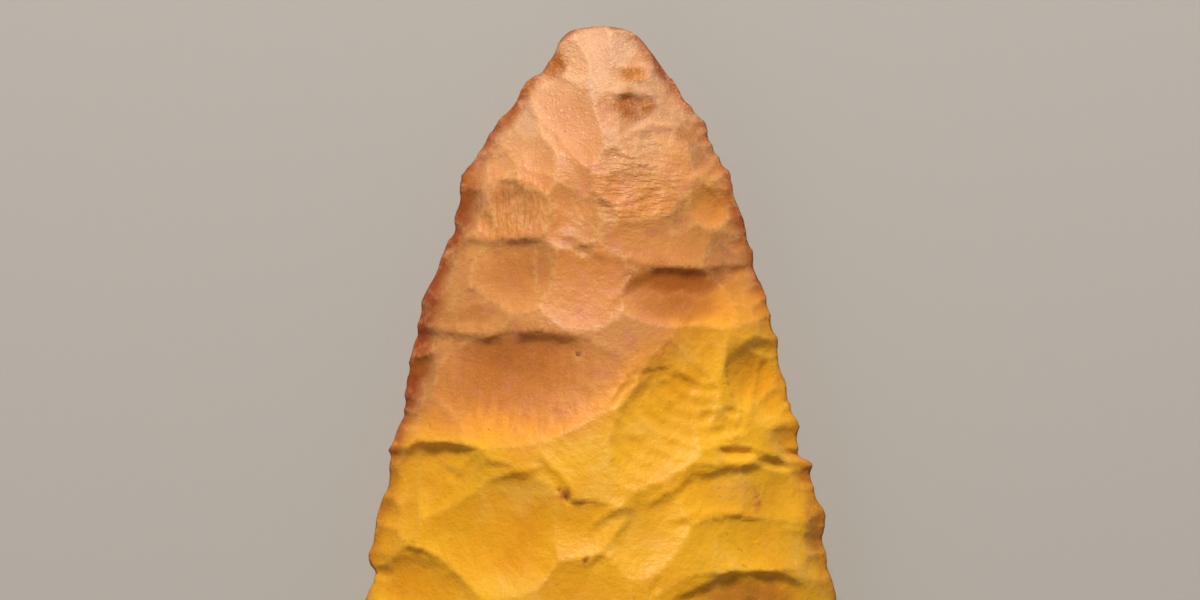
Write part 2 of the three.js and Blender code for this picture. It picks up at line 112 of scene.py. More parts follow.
FALL_POWER = 4  # how close to its line a ledge falls off
FALL_SCALE = (FALL_POWER + 1) * (1 + 1 / FALL_POWER) ** FALL_POWER  # makes the deepest place 1
WALL = 1.6  # width over which its lip falls away
TAPER = 0.22  # share of a ledge over which it dies away at each end

# A scar past its ends: the share of its slope that it keeps, and how it lifts off.
RUN_ON_SLOPE, RUN_ON_LIFT = 0.9, 0.02
RUN_OUT = 1.3  # a small scar rises out of the stone past this many times its size
SMALL_REACH = (2.5, 1)  # and has an end by this many times its size, and this much on top
SMALL_WANDER = 0.3  # how uneven the step of a small scar is against a large one's
# How steeply the stone rises at a step: at least, more for each millimetre of it, and up to which.
STEEP_LEAST, STEEP_GROWTH, STEEP_UP_TO = 0.5, 0.9, 1.2
# Ripples: distance between them, and the middle of their rings in half lengths and half widths.
RIPPLE_LENGTH, RIPPLE_MIDDLE = 2.6, (1.3, 0.6)

# Waves that keep lines and surfaces from being even: height, size, shift of their pattern.
LEDGE_WAVES = ((0.3, 6.1, 0), (0.12, 2.3, 2))
SCAR_WAVES = ((0.07, 9, 0), (0.03, 4, 7))
STEP_WAVES = ((0.45, 7, 3), (0.25, 2.9, 5))
CHIP_WAVES = ((0.08, 5, 20),)
RING_WAVES = ((0.3, 11, 9),)
PHASE_WAVES = ((0.25, 5, 11),)
ZONE_WAVES = ((2.2, 23, 3), (1.2, 9, 4), (0.5, 3, 5))
STAIN_AND_SHADE_WAVES = 0.9, 5, (6, 7)  # height, size, patterns across and along
GOLDEN_ANGLE = 2.399  # keeps the waves of one scar unlike those of the next

# Distance from the tip, half width there.
OUTLINE = (
    (0, 0), (1, 5.5), (4, 8.9), (9, 12.4), (19, 19.5), (26, 23.2), (35, 25.6), (50, 30), (65, 33.4),
    (80, 37), (95, 39.3), (WIDEST_AT, HALF_WIDTH),
)

# Front scars, oldest first: x, distance from the tip, half length, half width, turn of the long axis
# in degrees, hollow, step at the upper side, step at the far end, height of the ripples.
FRONT_SCARS = (
    (-12, 61, 17, 9.2, 2, 1.1, 0.9, 0, 0.02), (-17, 85, 13, 10.3, 0, 1.2, 0.7, 0, 0.02),
    (22, 42, 8, 7, 70, 0.7, 0, 0, 0.02), (16.5, 56, 7.5, 5, 100, 0.5, 0, 0, 0.01),
    (10, 67, 11, 8, 40, 0.9, 0, 0.5, 0.08), (-2.5, 44.5, 8, 6.8, 0, 0.5, 0.5, 0, 0.01),
    (-14.5, 42.5, 7, 6, 0, 0.8, 0.9, 0, 0.02), (-22.5, 47.9, 8, 3.4, -4, 0.1, 0.5, 0, 0.02),
    (12.5, 45.8, 9, 5.2, 2, 0.9, 0.9, 0, 0.02), (-28, 76, 8.5, 6, -6, 0.7, 1.3, 0, 0.01),
    (-32.6, 80, 5.5, 3, 75, 0.3, 0, 0, 0.01), (-28, 94.6, 9, 6.4, -8, 0.9, 0.4, 0, 0.02),
    (8, 84, 9, 6, 40, 0.6, 0, 0, 0.01), (19.5, 78, 8, 4.8, 4, 0.6, 0.5, 0, 0.02),
    (30, 79, 6.5, 5.5, 0, 0.5, 0.7, 0, 0.02), (27, 86.6, 12, 4.4, 0, 0.4, 0.3, 0, 0.02),
    (23, 98, 14, 6.8, 3, 0.6, 1.5, 0, 0.02), (-3, 95.5, 8, 7, 40, 0.5, 0, 0, 0.01),
    (-2.2, 84, 5, 4.4, 0, 0.4, 1, 0, 0.01), (23.2, 59.5, 6.8, 3.6, 96, 0.2, 0, 0, 0.01),
    (28.3, 60, 7, 3.2, -92, 0.4, 0, 0.4, 0.01), (20, 67, 4.5, 2.6, 10, 0.3, 0.3, 0, 0.03),
    (-28.8, 65, 4.6, 4.4, 0, 0.4, 0, 0, 0.01), (-17, 74.3, 3.4, 1.2, 4, 0.2, 0.7, 0, 0),
    (22.5, 71.5, 3.4, 1.2, 0, 0.5, 0.3, 0, 0), (28.7, 73.2, 3.2, 1.1, -10, 0.5, 0.3, 0, 0),
    # towards the tip
    (7.5, 28.5, 8.5, 6.5, 0, 0.2, 0.2, 0, 0.03), (9, 37, 9, 4.2, 0, 0.3, 0, 0, 0.01),
    (-4.5, 32.5, 6, 5, 60, 0.3, 0, 0, 0.01), (-14.5, 32, 6, 4.4, 0, 0.3, 0.5, 0, 0.03),
    (-14.5, 28.9, 2.4, 1.6, 0, 0.2, 0.7, 0, 0), (-10.5, 25.6, 3.8, 3, -60, 0.2, 0, 0, 0.01),
    (-17.3, 23.3, 3.6, 3.4, 0, 0.2, 0.2, 0, 0.02), (-11, 19.4, 5.2, 3.2, -38, 0.3, 0.6, 0, 0.02),
    (10, 20, 5, 3.6, 0, 0.3, 0.2, 0, 0.03), (19, 29, 5.6, 3.6, -72, 0.15, 0, 0.1, 0.02),
    (17.4, 21, 4, 3, -60, 0.3, 0, 0, 0.02), (15, 17.4, 2.8, 2, -20, 0.2, 0.6, 0, 0.01),
    (11.2, 12.4, 4.2, 2.8, -50, 0.3, 0, 0, 0.02), (-5.5, 15.6, 9, 5.2, -48, 0.5, 0, 0, 0.01),
    (5.6, 14.6, 4, 2.6, 0, 0.15, 0.4, 0, 0.02), (4.4, 4, 3.4, 2.4, -60, 0.2, 0, 0, 0.01),
    (-4.3, 6.6, 4.2, 2, -72, 0.3, 0, 0, 0.01), (-0.3, 6.3, 6.6, 2, -76, 0.3, 0, 0, 0.01),
    # butt
    (-24, 110, 13, 8, 10, 1, 0.5, 0, 0.02), (23, 112, 13, 8, -10, 1, 0.5, 0, 0.02),
    (0, 113, 10, 9, 80, 0.8, 0, 0, 0.02), (-24, 126, 11, 7, 35, 0.9, 0.4, 0, 0.02),
    (24, 127, 11, 7, -35, 0.9, 0.4, 0, 0.02), (-8, 134, 11, 7, 75, 0.8, 0, 0, 0.02),
    (10, 137, 10, 7, 110, 0.8, 0, 0, 0.02),
)

# Small marks on the front, in the same columns up to the first step.
FRONT_MARKS = (
    (-2.5, 38.3, 1.9, 0.9, 8, 0.1, 0.45), (4.2, 61.2, 4.2, 1, 48, 0.15, 0.5),
    (9.5, 58.6, 3.4, 1, 12, 0.15, 0.4), (17.6, 65.6, 1.6, 1.1, 30, 0.2, 0.3),
    (21.4, 64.8, 1.5, 0.9, -20, 0.2, 0.35), (19.4, 68.3, 1.8, 0.9, 10, 0.2, 0.35),
    (23.2, 67.6, 1.3, 1, 0, 0.2, 0.3), (-6.6, 77.8, 0.9, 0.5, -40, 0.3, 0.4),
    (-5.4, 79.2, 1, 0.5, -50, 0.3, 0.4), (-2.2, 89, 0.8, 0.4, 30, 0.3, 0.4),
    (-3.6, 55.6, 0.6, 0.4, 0, 0.3, 0.3), (25.6, 79, 2, 0.35, 75, 0.3, 0.2),
    (32.4, 72, 1.8, 0.9, -10, 0.2, 0.4), (-24, 75.4, 2.2, 0.9, -35, 0.1, 0.35),
    (9, 93.4, 2, 0.8, 60, 0.1, 0.3), (-9.2, 41, 4.6, 1.2, 92, 0.1, 0.2),
)

# Ledges of the front, one arc each: start and end (x, distance from the tip), bow of the arc to its low
# side, drop on the low side, how far the hollow reaches, lip on the high side. Seen from above, the low
# side is on the right of someone walking from start to end.
LEDGES = (
    # tip
    (-9.5, 8.2, -2.6, 10.4, -0.6, 0.3, 4, 0.2), (-14, 11.5, -1.5, 26, -0.3, 0.4, 5, 0.25),
    (1.2, 11.9, 9.6, 11.8, -0.2, 0.6, 6.5, 0.5), (8.6, 7.4, 2.6, 7.6, 0.4, 0.7, 4, 0.35),
    (2, 17.4, 1.7, 12.6, 0.2, 0.2, 3.5, 0.15), (0.3, 24.8, 4.2, 19.4, -0.8, 0.25, 3, 0.2),
    (3.6, 19.2, 12.8, 16.8, -0.2, 0.4, 6, 0.2), (11.4, 15.4, 19, 16, 0.6, 0.4, 4, 0.2),
    (13, 27.6, 21.8, 21.4, 0.3, 0.35, 5, 0.3), (15.8, 25, 22.8, 33.6, -0.6, 0.35, 4, 0.2),
    (-20.6, 19, -17.4, 26.4, -1.2, 0.3, 3, 0.2), (-24.5, 24.5, -20.2, 28.4, -0.8, 0.4, 4, 0.2),
    (-18.7, 25.8, -9.3, 28, -0.8, 0.4, 5, 0.25), (-9.3, 28, -7.3, 34.8, -0.6, 0.3, 4, 0.2),
    # shoulders
    (-31, 35.4, -7.4, 35, 0.8, 0.8, 11, 0.3), (-7.8, 34.6, 2.2, 40.4, -0.4, 0.3, 6, 0.2),
    (0.6, 38.8, 29, 38.2, 2.4, 0.9, 11, 0.3), (-10, 35.8, -10, 46, -0.4, 0.25, 4, 0.1),
    (0.2, 48.6, 7.8, 42, -0.6, 0.3, 6, 0.2), (-32, 50, -14.6, 52, 0.4, 0.9, 16, 0.35),
    (-14.6, 52, -2.5, 52.8, -0.5, 0.9, 16, 0.3), (-34, 57.4, -26.4, 54.6, -0.4, 0.5, 5, 0.35),
    (-35, 66.6, -28.2, 62.2, 0.8, 0.25, 3, 0.25),
    # middle
    (0.8, 65.6, 6.8, 58.6, -1.3, 0.3, 2.5, 0.3), (2, 66.4, 10.4, 58.2, -1.6, 0.7, 10, 0.25),
    (10.4, 58.2, 16.4, 60.4, -0.8, 0.7, 10, 0.2), (2, 69, 12, 72, -1.8, 0.2, 6, 0.15),
    (19, 57, 30.6, 52.2, -1.2, 0.1, 5, 0.2), (24.4, 67, 27.8, 53.2, -0.5, 0.4, 6, 0.25),
    (17, 68, 24.6, 65.8, 2.4, 0.4, 3, 0.35), (18, 70.6, 30, 71.6, -0.3, 0.6, 4, 0.25),
    (14.6, 74.8, 27, 72.8, 0, 0.7, 8, 0.5), (29.8, 72.2, 38, 72.8, 0.6, 0.5, 5, 0.4),
    # towards the butt
    (-39, 71.8, -19.6, 70.2, -1.2, 1.3, 11, 0.35), (-27.8, 80.6, -19.2, 70.4, -0.5, 0.4, 5, 0.25),
    (-21, 74.2, -7.8, 73, 1, 0.5, 16, 0.3), (-10.6, 71, -3, 79.6, -0.3, 0.7, 8, 0.3),
    (-2, 84, 6.6, 80.6, -1.4, 0.5, 8, 0.35), (6.6, 80.6, 15.6, 73.8, 0.5, 0.5, 8, 0.3),
    (-3.6, 90.4, 5.4, 81.2, 0.5, 0.6, 8, 0.25), (10, 82.8, 26, 81.4, -0.8, 0.4, 8, 0.2),
    (28.6, 84, 41, 85.2, 0, 0.35, 4, 0.2), (10.6, 96, 24, 90.7, -0.8, 1.1, 12, 0.3),
    (24, 90.7, 34.2, 93.2, -0.8, 1.1, 10, 0.3), (-36.4, 89, -24.6, 90.2, -1.2, 0.35, 12, 0.15),
    (-24.6, 90.2, -19.4, 96.4, -0.3, 0.35, 10, 0.15),
)

# Cusps of the two margins: distance from the tip, half width there, scoop since the cusp before.
LEFT_MARGIN = (
    (9.3, 12.2, 1.5), (19.2, 19.7, 0.5), (25, 23.4, 0.45), (34.5, 24.8, 0.4), (46, 29.7, 0), (62, 32.8, 0),
    (71, 35.4, 0.7), (79.5, 36.9, 0.8), (88, 38.8, 0.4), (97, 39.5, 1.2),
)
RIGHT_MARGIN = (
    (9, 12.2, 0.7), (16, 17.6, 0.3), (25, 22, 0.3), (33.5, 24.8, 0.3), (46, 28.3, 0), (60, 31.4, 0.2),
    (67, 33.4, 0.3), (73, 35.1, 1.3), (82, 37.7, 0.4), (92.5, 38.9, 0.9),
)

# Small chips along the margins, in millimetres from the tip: first place, last place, average length.
TIP_CHIPS = (4, 92.5, 3.6)
BUTT_CHIPS = (97, 149.4, 6.5)
BACK_CHIPS = (6, 149.4, 7.2)
# Depth and reach of the chips in turn, and how deep each row is cut against them.
BITES = (0.35, 0.5, 0.3, 0.55, 0.4, 0.5, 0.3, 0.45)
REACHES = (2.5, 4, 3, 4.5, 2.2, 5, 3.5, 4)
TIP_BITE = 0.45
BUTT_BITE = 1.4
UNEVENNESS = (0.35, 2.4)  # how far the chips' ends leave an even spacing, and in what turn
TIP_SHIFT = 0.6  # share of a chip by which the right row near the tip lies further back
BACK_SHIFT = 0.5  # how far the back's chips are out of step with their spacing
SHORTEST_CHIP = 2
CHIP_SLOPE = 0.55  # share of a chip's rise that is straight; the rest curves up
CHIP_RIM = 0.2  # how far its sides rise above the margin
CHIP_REACH = (3, 2)  # it has an end by this many times its size, and this much on top
DEEPEST = (0.14, 0.1)  # limit of the depth: share of its length, and millimetres on top
LONGEST = (0.8, 1)  # the same for how far it reaches inward

# The broad scars of the back, in a row from each margin: how many, distance of the first from the tip
# and between neighbours, how much further back the right row starts, and where the rows stop.
BACK_COUNT, BACK_FIRST, BACK_APART, BACK_STAGGER, BACK_LAST = 8, 12, 17, 7, 140
# They point straight in at this distance and turn by so many degrees for each millimetre away from it.
BACK_LEVEL, BACK_TURN = 75, -0.35
# Place and half length as shares of the stone's half width, then half width, hollow, step, ripple.
BACK_PLACE, BACK_RUN, BACK_SCAR = 0.55, 0.38, (8.6, 0.8, 0.25, 0.02)
# How much their places, half lengths and hollows differ, and in what turn.
BACK_WANDER = ((2.5, 2.1), (0.05, 1.7), (0.2, 3))

# First patterns of the back's scars, the marks and the facets of tip, butt and back.
BACK_PATTERN, MARK_PATTERN, TIP_PATTERN, BUTT_PATTERN, BACK_FACET_PATTERN = 40, 60, 80, 140, 220

# Small facets between the scars: how many, from and to which distance from the tip, smallest and largest
# half size, hollow of the deepest, step of the highest.
TIP_FACETS = (44, 5, 35, 1.8, 3.4, 0.22, 0.9)
BUTT_FACETS = (60, 100, 145, 2.6, 6.4, 0.4, 1.2)
BACK_FACETS = (90, 4, 144, 2.4, 6, 0.35, 1)
# Shares of a turn between one facet and the next: along, across, size, hollow and step.
FACET_TURNS = (0.7549, 0.5698, 0.381, 0.27, 0.83)
FACET_SPREAD = 0.92  # share of the width that they cover
FACET_SHAPE = (1.2, 0.75)  # half length and half width against the size
FACET_ROTATION = 67  # degrees from one to the next
SHALLOWEST = 0.4  # hollow of the shallowest against the deepest
WITHOUT_STEP = 0.4  # share of them without a step, and by which the highest is lower
# Smooth places of the front without such facets: x, distance from the tip, half width, half length.
SMOOTH_PLACES = ((-5.5, 15.5, 6.5, 8.5), (0, 5, 3.5, 6))

# Stains of the front, and painted shade in the hollows under its ledges: x, distance from the tip, half
# width, half length, strength.
STAINS_AND_SHADE = (
    (5, 14.2, 4.2, 2.7, 1), (-7.4, 5.8, 1.7, 2.7, 1), (14.5, 18.4, 2.6, 2, 0.7), (11, 13.5, 3, 3, 0.3),
    (-13, 10.6, 1.6, 1.8, 0.8), (-16, 15.4, 1.6, 2.4, 0.8), (-14.5, 28.6, 3.4, 1.1, 0.5),
    (16, 22, 3, 3, 0.25), (-22, 27, 1.8, 3, 0.7), (-13, 42, 6, 4.5, 0.3), (12, 43, 9, 2.4, 1),
    (13, 47.5, 7, 2.4, 0.6), (-22, 48.6, 5, 1.2, 0.4), (-30, 57, 2.4, 2, 0.9), (-14, 55, 9, 4, 0.5),
    (34.5, 75, 1.6, 2.4, 0.6), (24, 79, 7, 4, 0.2), (36, 84, 2, 5, 0.5), (24, 95, 9, 3, 0.7),
    (-5.8, 78.4, 0.9, 1.1, 1), (25.8, 79, 0.4, 2, 0.8), (-2.2, 89, 0.8, 0.6, 0.8),
)


# ---- Outline, dome and unevenness ----
def smooth(v, low, high):
    s = np.clip((v - low) / (high - low), 0, 1)
    return s * s * (3 - 2 * s)


def outline_rates():
    """Slope of the squared half width at each point of the outline."""
    t = np.array([p[0] for p in OUTLINE], float)
    w2 = np.array([p[1] for p in OUTLINE], float) ** 2
    step = np.diff(w2) / np.diff(t)
    return t, w2, np.concatenate([step[:1], (step[1:] + step[:-1]) / 2, [0]])


OUTLINE_T, OUTLINE_W2, OUTLINE_RATE = outline_rates()


def width_squared(t):
    t = np.asarray(t, float)
    i = np.clip(np.searchsorted(OUTLINE_T, t, side="right") - 1, 0, len(OUTLINE_T) - 2)
    h = OUTLINE_T[i + 1] - OUTLINE_T[i]
    s = np.clip((t - OUTLINE_T[i]) / h, 0, 1)
    blade = (2 * s**3 - 3 * s**2 + 1) * OUTLINE_W2[i] + (s**3 - 2 * s**2 + s) * h * OUTLINE_RATE[i]
    blade += (3 * s**2 - 2 * s**3) * OUTLINE_W2[i + 1] + (s**3 - s**2) * h * OUTLINE_RATE[i + 1]
    past = np.clip((t - WIDEST_AT) / (LENGTH - WIDEST_AT), 0, None)
    butt = HALF_WIDTH**2 * (1 - past**BUTT_POWER)
    return np.where(t < 0, t * PAST_TIP, np.where(t < WIDEST_AT, blade, butt))


def half_width(t):
    return np.sqrt(np.maximum(width_squared(t), 0))


def nick(t, cusps):
    """How far a margin stands out from the smooth outline: scooped between its cusps."""
    at, width, scoop = np.array(cusps, float).T
    at = np.concatenate([[0], at])
    jut = np.concatenate([[0], width - half_width(at[1:])])
    i = np.clip(np.searchsorted(at, t, side="right") - 1, 0, len(scoop) - 1)
    s = np.clip((t - at[i]) / (at[i + 1] - at[i]), 0, 1)
    return np.interp(t, at, jut) - 4 * scoop[i] * s * (1 - s)


def felt(x, t, start, come_in, die_away):
    """0 in the middle of the stone, 1 at the margin, and 0 towards both ends."""
    outward = smooth(np.abs(x) / np.maximum(half_width(t), LEAST_WIDTH), start, 1)
    return outward * smooth(t, *come_in) * (1 - smooth(t, *die_away))


def drawn_in(x, t):
    """x moved sideways near the margin, so that the smooth outline gets its cusps and scoops."""
    out = nick(t, LEFT_MARGIN), nick(t, RIGHT_MARGIN)
    return x - np.sign(x) * felt(x, t, *CUSPS_FELT) * np.where(x < 0, *out)


def dome(x, t, rise):
    w2 = width_squared(t)
    w = np.sqrt(np.maximum(w2, LEAST))
    inside = rise * (w / HALF_WIDTH) ** RISE_POWER * (1 - (np.abs(x) / w) ** DOME_POWER)
    outside = w2 * OVERHANG[0] - np.abs(x) * OVERHANG[1]
    return np.maximum(np.where(w2 > 0, inside, outside), FAR_BELOW)


def uneven(x, t, k, size):
    """Smooth unevenness between about -1 and 1, `size` across, different for every k: three waves that
    run in different directions."""
    a, b, p = x * 2 * math.pi / size, t * 2 * math.pi / size, k * GOLDEN_ANGLE
    slow = 0.4 * np.sin(a * 0.9 + b * 0.35 + p) + 0.35 * np.sin(b * 0.95 - a * 0.42 + 1.7 * p)
    return slow + 0.25 * np.sin(a * 1.5 + b * 1.3 + 2.9 * p + np.sin(b * 0.7 + p))


def waves(x, t, k, rows):
    return sum(height * uneven(x, t, k + shift, size) for height, size, shift in rows)


def sway(x, t):
    """How far both faces are raised near the margin, so that it isn't a straight line from the side."""
    return SWAY * felt(x, t, *SWAY_FELT) * uneven(x, t, SWAY_PATTERN, SWAY_SIZE)


# ---- Ledges ----
class Ledge:
    """An arc with a lip on one side and a hollow that falls away on the other."""

    def __init__(self, k, row):
        x0, t0, x1, t1, self.bow, drop, reach, self.lip = row
        self.drop, self.reach = drop * DROPPING, reach * REACHING
        self.k = k
        self.start = x0, t0
        self.length = math.hypot(x1 - x0, t1 - t0)
        self.way = (x1 - x0) / self.length, (t1 - t0) / self.length

    def place(self, x, t):
        """The place along the arc from 0 to 1, and the distance from it, positive on the low side."""
        dx, dt = x - self.start[0], t - self.start[1]
        s = (dx * self.way[0] + dt * self.way[1]) / self.length
        off = dt * self.way[0] - dx * self.way[1] - 4 * self.bow * s * (1 - s)
        return s, off / np.hypot(1, 4 * self.bow * (1 - 2 * s) / self.length)

    def relief(self, x, t):
        s, d = self.place(x, t)
        d = d + waves(x, t, self.k, LEDGE_WAVES)
        fade = smooth(np.minimum(s, 1 - s), 0, TAPER)
        low = np.clip(d / self.reach, 0, 1)
        high = np.clip(1 + 2 * d / self.reach, 0, 1)
        lip = self.lip * high**2 * (1 - smooth(d, 0, WALL))
        return fade * (lip - self.drop * FALL_SCALE * low * (1 - low) ** FALL_POWER)


# ---- A face: the dome and the scars cut into it ----
def steepness(step):
    return STEEP_LEAST + STEEP_GROWTH * min(step, STEEP_UP_TO)


class Face:
    """One side of the stone, as the lowest of a dome and the surfaces cut into it."""

    def __init__(self, rise):
        self.rise = rise
        self.cuts = [lambda x, t: dome(x, t, rise)]
        self.areas = [None]
        self.ledges = []

    def add(self, cut, area=None):
        self.cuts.append(cut)
        self.areas.append(area)

    def all_heights(self, x, t):
        """One row for each cut. A small cut counts only near its place."""
        rows = np.full((len(self.cuts), len(x)), ABOVE_ALL)
        for row, cut, area in zip(rows, self.cuts, self.areas):
            near = slice(None) if area is None else np.hypot(x - area[0], t - area[1]) < area[2]
            row[near] = cut(x[near], t[near])
        return rows

    def height(self, x, t):
        x = drawn_in(x, t)
        z = self.all_heights(x, t).min(0)
        for ledge in self.ledges:
            z = z + ledge.relief(x, t)
        return z

    def inside(self, x, t):
        """Height just inside the margin, so that a scar may end there."""
        w = float(half_width(t)) - INSET
        return float(self.height(np.array([max(-w, min(w, x))]), np.array([float(t)]))[0])

    def scar(self, k, row, small=False):
        x, t, a, b, turn, hollow, step, end, ripple = row
        hollow, step, end = hollow * HOLLOWING, step * STEPPING, end * STEPPING
        c, s = math.cos(math.radians(turn)), math.sin(math.radians(turn))

        def at(u, v):
            return self.inside(x + u * c - v * s, t - u * s - v * c)

        right, left, upper, lower = at(a, 0) - end, at(-a, 0), at(0, b) - step, at(0, -b)
        middle = (upper + lower) / 2 - hollow
        bend = ((right + left) / 2 - middle) / a**2

        def cut(px, pt):
            u = (px - x) * c + (t - pt) * s
            v = (t - pt) * c - (px - x) * s
            inner, outer = np.minimum(np.abs(u), a), np.maximum(np.abs(u) - a, 0)
            z = middle + (right - left) / (2 * a) * u + bend * inner**2 + RUN_ON_LIFT * outer**2
            z = z + 2 * RUN_ON_SLOPE * min(bend, 0) * a * outer + max(bend, 0) * (2 * a * outer + outer**2)
            z = z + (upper - lower) / (2 * b) * v + hollow * v * v / b**2
            wander = waves(px, pt, k, STEP_WAVES)
            if small:
                wander = wander * SMALL_WANDER
                z = z + b * np.maximum(np.hypot(u / a, v / b) - RUN_OUT, 0)
            else:
                z = z + waves(px, pt, k, SCAR_WAVES)
            if step:
                z = z + steepness(step) * np.maximum(v - b + wander, 0)
            if end:
                z = z + steepness(end) * np.maximum(u - a + wander, 0)
            if ripple:
                far = np.hypot(u - RIPPLE_MIDDLE[0] * a, v - RIPPLE_MIDDLE[1] * b)
                turns = (far + waves(px, pt, k, RING_WAVES)) * 2 * math.pi / RIPPLE_LENGTH
                z = z + ripple * np.sin(turns + waves(px, pt, k, PHASE_WAVES))
            return z

        self.add(cut, (x, t, SMALL_REACH[0] * max(a, b) + SMALL_REACH[1]) if small else None)

    def chip(self, k, side, ends, bite, reach):
        """A short chip between two cusps of the margin."""
        (x0, t0), (x1, t1) = [(side * float(half_width(t)), t) for t in ends]
        half = math.hypot(x1 - x0, t1 - t0) / 2
        along = ((x1 - x0) / (2 * half), (t1 - t0) / (2 * half))
        inward = (-side * abs(along[1]), side * along[0] * along[1] / abs(along[1]))
        mx, mt = (x0 + x1) / 2, (t0 + t1) / 2
        far = self.inside(mx + inward[0] * reach, mt + inward[1] * reach)

        def cut(px, pt):
            u = ((px - mx) * inward[0] + (pt - mt) * inward[1]) / reach
            v = ((px - mx) * along[0] + (pt - mt) * along[1]) / half
            run = CHIP_SLOPE * u + np.where(u > 0, (1 - CHIP_SLOPE) * u * u, 0)
            rim = (bite + CHIP_RIM) * v * v
            return -bite + (far + bite) * run + rim + waves(px, pt, k, CHIP_WAVES)

        self.add(cut, (mx, mt, CHIP_REACH[0] * max(half, reach) + CHIP_REACH[1]))

    def chips(self, cusps, side, shift, depth):
        for i in range(len(cusps) - 1):
            start = cusps[i] + (cusps[i + 1] - cusps[i]) * shift
            after = cusps[min(i + 2, len(cusps) - 1)]
            stop = cusps[i + 1] + (after - cusps[i + 1]) * shift
            gap = stop - start
            if gap < SHORTEST_CHIP:
                continue
            bite = min(BITES[i % len(BITES)], DEEPEST[0] * gap + DEEPEST[1]) * depth
            reach = min(REACHES[i * 3 % len(REACHES)], LONGEST[0] * gap + LONGEST[1])
            self.chip(i, side, (start, stop), bite, reach)

    def lowest(self, x, t):
        """For each point, the three lowest cuts, lowest first."""
        rows = self.all_heights(drawn_in(x, t), t)
        return np.argsort(rows, axis=0)[:3]

    def at(self, which, x, t):
        """Height of the cut named for each point, without the ledges."""
        x = drawn_in(x, t)
        z = np.zeros(len(x))
        for k in np.unique(which):
            here = which == k
            z[here] = self.cuts[k](x[here], t[here])
        return z


def add_facets(face, k, count, start, stop, small, large, deepest, highest, smooth_places=()):
    """Small scars spread evenly over a stretch of the stone, each turned and sized differently."""
    for i in range(count):
        along, across, sizing, hollowing, stepping = (i * turn % 1 for turn in FACET_TURNS)
        t = start + (stop - start) * along
        x = float(half_width(t)) * FACET_SPREAD * (2 * across - 1)
        if any(math.hypot((x - mx) / hx, (t - mt) / ht) < 1 for mx, mt, hx, ht in smooth_places):
            continue
        size = small + (large - small) * sizing
        hollow = deepest * (SHALLOWEST + (1 - SHALLOWEST) * hollowing)
        step = highest * max(stepping - WITHOUT_STEP, 0)
        a, b = (size * part for part in FACET_SHAPE)
        face.scar(k + i, (x, t, a, b, i * FACET_ROTATION % 180, hollow, step, 0, 0), small=True)


def spaced(start, stop, length):
    """Places along a margin that are unevenly spaced, `length` apart on average."""
    count = round((stop - start) / length)
    moved = [i + UNEVENNESS[0] * math.sin(i * UNEVENNESS[1]) for i in range(count + 1)]
    return [start + (stop - start) * place / count for place in moved]


def front_face():
    face = Face(FRONT_RISE)
    for k, row in enumerate(FRONT_SCARS):
        face.scar(k, row)
    add_facets(face, TIP_PATTERN, *TIP_FACETS, SMOOTH_PLACES)
    add_facets(face, BUTT_PATTERN, *BUTT_FACETS)
    for k, row in enumerate(FRONT_MARKS):
        face.scar(k + MARK_PATTERN, (*row, 0, 0), small=True)
    for side in (-1, 1):
        face.chips(spaced(*TIP_CHIPS), side, TIP_SHIFT if side > 0 else 0, TIP_BITE)
        face.chips(spaced(*BUTT_CHIPS), side, 0, BUTT_BITE)
    face.ledges = [Ledge(k, row) for k, row in enumerate(LEDGES)]
    return face


def back_face():
    """Plainer: a row of broad scars from each margin, a few chips and the flat resting spot."""
    face = Face(BACK_RISE)
    half, deep, step, ripple = BACK_SCAR
    for side in (-1, 1):
        for i in range(BACK_COUNT):
            move, stretch, deepen = (size * math.sin(i * turn + shift)
                                     for (size, turn), shift in zip(BACK_WANDER, (side, -side, 0)))
            t = BACK_FIRST + i * BACK_APART + (BACK_STAGGER if side > 0 else 0) + move
            if t > BACK_LAST:
                continue
            w = float(half_width(t))
            turned = side * (t - BACK_LEVEL) * BACK_TURN
            row = (side * w * BACK_PLACE, t, w * (BACK_RUN + stretch), half, turned, deep + deepen, step, 0)
            face.scar(i + BACK_PATTERN, (*row, ripple))
    add_facets(face, BACK_FACET_PATTERN, *BACK_FACETS)
    for side in (-1, 1):
        face.chips(spaced(*BACK_CHIPS), side, BACK_SHIFT, 1)
    face.add(lambda x, t: np.full(np.shape(x), REST_RISE))
    return face


# ---- The surface: triangles over the outline, moved onto ridges and margin ----
BORDER, SIDE_BORDER = 4, 5  # how far the lattice goes past the outline's ends and sides
NEAR_MARGIN = (-3, 6)  # heights of the front dome between which the margin is looked for
MARGIN_REACH = 1.5  # a point thinner than this many spacings is tried against the margin
MARGIN_SNAP = 0.4  # a point this share of the spacing from the margin moves onto it
RIDGE_SNAP = 0.5  # the same for a ridge
SLIVER = 0.25  # a triangle that shrinks below this share of its area is let out again
NUDGE = 0.02  # distance over which a slope is measured
SLACK = 0.01  # largest thickness left at the margin
MARGIN_ROUNDS, RIDGE_ROUNDS, HALVINGS, LETTING_OUT = 4, 2, 18, 10  # repeats of each
FAR = 9.0  # distance of a ridge that hasn't been found


def newton(value, x, t, rounds):
    """Moves points towards the line where value is nought."""
    for _ in range(rounds):
        z = value(x, t)
        gx = (value(x + NUDGE, t) - z) / NUDGE
        gt = (value(x, t + NUDGE) - z) / NUDGE
        g = gx * gx + gt * gt + LEAST
        x, t = x - z * gx / g, t - z * gt / g
    return x, t


